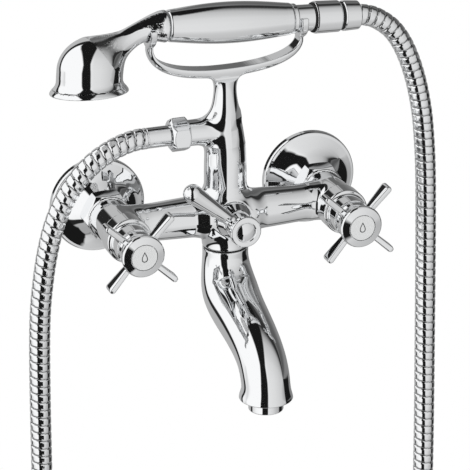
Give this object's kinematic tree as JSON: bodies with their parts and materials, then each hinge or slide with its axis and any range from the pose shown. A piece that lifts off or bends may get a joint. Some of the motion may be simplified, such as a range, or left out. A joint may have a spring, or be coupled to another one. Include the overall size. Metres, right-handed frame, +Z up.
{
  "type": "bath shower mixer",
  "caption": "Wall-mounted chrome bath shower mixer with cross handles, a lever diverter, a swivel spout below, and a telephone-style handset on a ribbed hose in a forked cradle.",
  "frame": {"origin": "on the wall, midway between the two inlet axes", "axes": "+X along the wall to the viewer's right, +Y into the wall along the inlets, +Z up"},
  "size_m": [0.2914, 0.1551, 0.6707],
  "materials": {
    "chrome": "polished",
    "brass": "machined",
    "rubber": "matte",
    "ceramic": "lapped",
    "steel": "turned",
    "index": "enamelled",
    "white_plastic": "moulded"
  },
  "bodies": {
    "mixer": {"mixer_body": "chrome", "wall_flange_left": "chrome", "wall_flange_right": "chrome", "wall_union_left": "brass", "wall_union_right": "brass", "union_nut_left": "chrome", "union_nut_right": "chrome", "union_washers": "rubber", "headwork_left": "brass", "headwork_right": "brass", "seat_seals": "rubber", "fixed_discs": "ceramic", "bonnet_left": "chrome", "bonnet_right": "chrome", "diverter_cartridge": "brass", "diverter_bonnet": "chrome", "riser_column": "chrome", "riser_seal": "rubber", "check_valve": "white_plastic", "handset_cradle": "chrome", "spout_screw": "steel", "hose_nut": "chrome", "hose_sleeve": "chrome", "hose_washer": "rubber", "shower_hose": "chrome"},
    "handle_left": {"handle_left": "chrome", "index_button_left": "index", "handle_screw_left": "steel", "spindle_left": "brass", "moving_disc_left": "ceramic"},
    "handle_right": {"handle_right": "chrome", "index_button_right": "index", "handle_screw_right": "steel", "spindle_right": "brass", "moving_disc_right": "ceramic"},
    "diverter": {"diverter_lever": "chrome", "diverter_cap": "chrome", "diverter_screw": "steel", "diverter_spindle": "brass"},
    "spout": {"spout": "chrome", "spout_spigot": "brass", "spout_o_ring": "rubber", "aerator_housing": "chrome", "aerator_insert": "white_plastic", "aerator_washer": "rubber"},
    "handset": {"handset_head": "chrome", "spray_plate": "white_plastic", "spray_gasket": "rubber", "handset_grip": "chrome", "handset_core": "brass", "handset_tail": "chrome", "cone_nut": "chrome", "hose_collar": "chrome", "handset_washer": "rubber"}
  },
  "joints": [
    {"name": "handle_left_turn", "type": "hinge", "parent": "mixer", "child": "handle_left", "pos_m": [-0.075, -0.09, 0], "axis": [0, 1, 0], "range_deg": [-90, 0]},
    {"name": "handle_right_turn", "type": "hinge", "parent": "mixer", "child": "handle_right", "pos_m": [0.075, -0.09, 0], "axis": [0, 1, 0], "range_deg": [0, 90]},
    {"name": "diverter_turn", "type": "hinge", "parent": "mixer", "child": "diverter", "pos_m": [0, -0.075, 0.001], "axis": [0, 1, 0], "range_deg": [0, 100]},
    {"name": "spout_swivel", "type": "hinge", "parent": "mixer", "child": "spout", "pos_m": [0, -0.045, -0.024], "axis": [0, 0, 1], "range_deg": [-60, 60]},
    {"name": "handset_lift", "type": "slide", "parent": "mixer", "child": "handset", "axis": [0, 0, 1], "range_m": [0, 0.06], "deforming": ["shower_hose"]}
  ]
}
